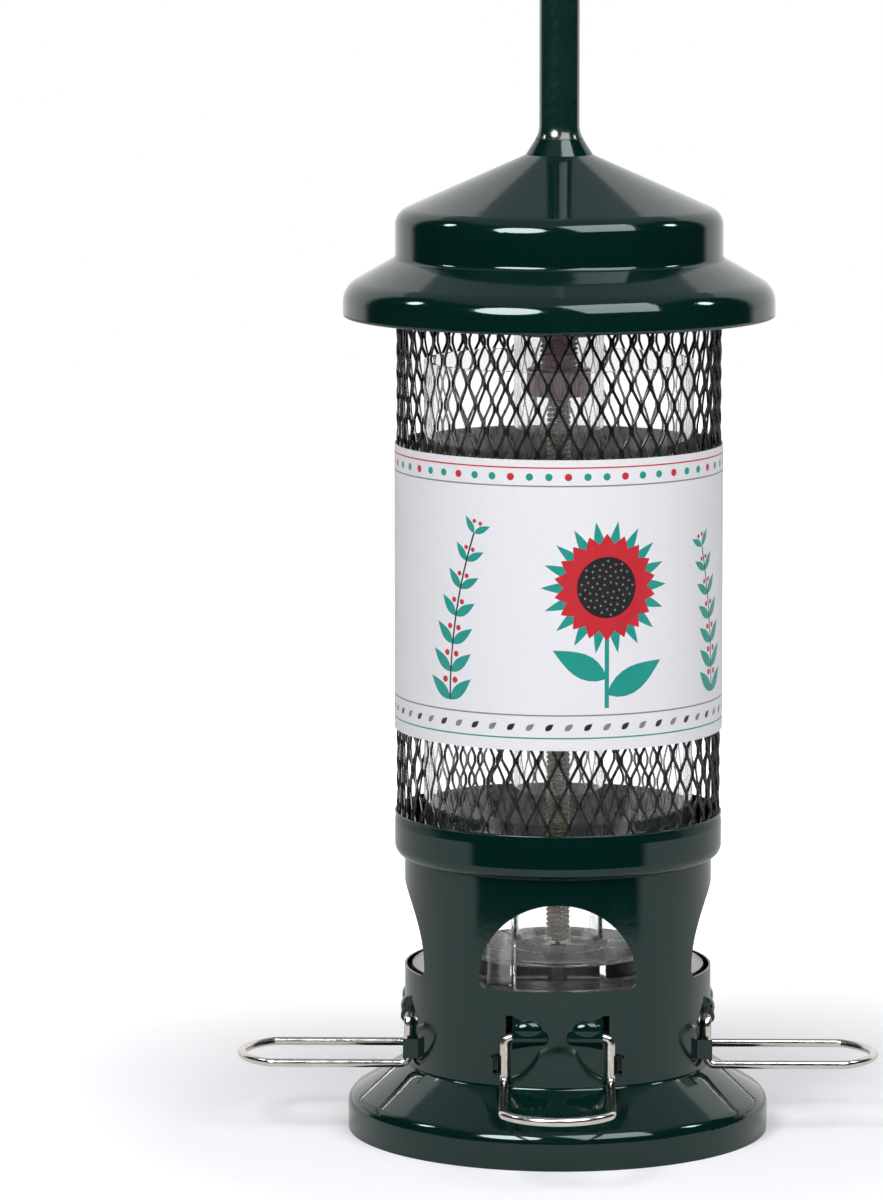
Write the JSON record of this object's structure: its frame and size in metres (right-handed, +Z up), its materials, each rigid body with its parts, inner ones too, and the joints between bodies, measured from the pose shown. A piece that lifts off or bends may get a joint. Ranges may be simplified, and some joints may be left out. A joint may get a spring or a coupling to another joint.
{
  "type": "squirrel-proof bird feeder",
  "caption": "Hanging tube bird feeder with a sprung mesh shroud that closes its feeding ports under load, wire loop perches, a lifting roof and a wire hanger.",
  "frame": {"origin": "centre of the base, on the surface that it stands on", "axes": "+Z up along the feeder's axis; -Y towards the front port and perch; +X to the right seen from the front"},
  "size_m": [0.2012, 0.2012, 0.445],
  "materials": {
    "green_paint": "dark green gloss paint on sheet metal",
    "black_paint": "black-green paint on expanded steel",
    "pale_card": "satin printed card",
    "plated_wire": "bright plated steel wire",
    "zinc_steel": "zinc-plated steel",
    "bronze_steel": "oiled brown spring steel",
    "clear_plastic": "clear polycarbonate",
    "maroon_plastic": "maroon moulded plastic",
    "dark_plastic": "black moulded plastic",
    "green_plastic": "dark green gloss plastic"
  },
  "bodies": {
    "core": {"seed_tube": "clear_plastic", "seed_tray": "clear_plastic", "centre_tube": "clear_plastic", "tube_plug": "dark_plastic", "spring": "bronze_steel", "hanger_wire": "zinc_steel"},
    "shroud": {"base_skirt": "green_paint", "base_floor": "dark_plastic", "port_shell": "green_paint", "mesh_cage": "black_paint", "mesh_hem": "black_paint", "label_sleeve": "pale_card", "spring_anchor": "bronze_steel", "anchor_washer": "zinc_steel", "anchor_nut": "zinc_steel"},
    "roof": {"roof": "green_paint", "roof_ring": "dark_plastic", "hanger_sleeve": "green_plastic"},
    "adjuster": {"spring_adjuster": "maroon_plastic"},
    "front_perch": {"perch_front": "plated_wire"},
    "right_perch": {"perch_right": "plated_wire"},
    "back_perch": {"perch_back": "plated_wire"},
    "left_perch": {"perch_left": "plated_wire"}
  },
  "joints": [
    {"name": "shroud_drop", "type": "slide", "parent": "core", "child": "shroud", "axis": [0, 0, -1], "range_m": [0, 0.027], "stiffness_N_per_m": 120, "springref_m": -0.067, "deforming": ["spring"]},
    {"name": "roof_lift", "type": "slide", "parent": "shroud", "child": "roof", "axis": [0, 0, 1], "range_m": [0, 0.04]},
    {"name": "adjuster_turn", "type": "hinge", "parent": "core", "child": "adjuster", "pos_m": [0, 0, 0.24], "axis": [0, 0, 1], "range_deg": [-180, 180]},
    {"name": "front_perch_fold", "type": "hinge", "parent": "shroud", "child": "front_perch", "pos_m": [0, -0.0466, 0.03749], "axis": [-1, 0, 0], "range_deg": [0, 80]},
    {"name": "right_perch_fold", "type": "hinge", "parent": "shroud", "child": "right_perch", "pos_m": [0.0466, 0, 0.03749], "axis": [0, -1, 0], "range_deg": [0, 80]},
    {"name": "back_perch_fold", "type": "hinge", "parent": "shroud", "child": "back_perch", "pos_m": [0, 0.0466, 0.03749], "axis": [1, 0, 0], "range_deg": [0, 80]},
    {"name": "left_perch_fold", "type": "hinge", "parent": "shroud", "child": "left_perch", "pos_m": [-0.0466, 0, 0.03749], "axis": [0, 1, 0], "range_deg": [0, 80]}
  ]
}
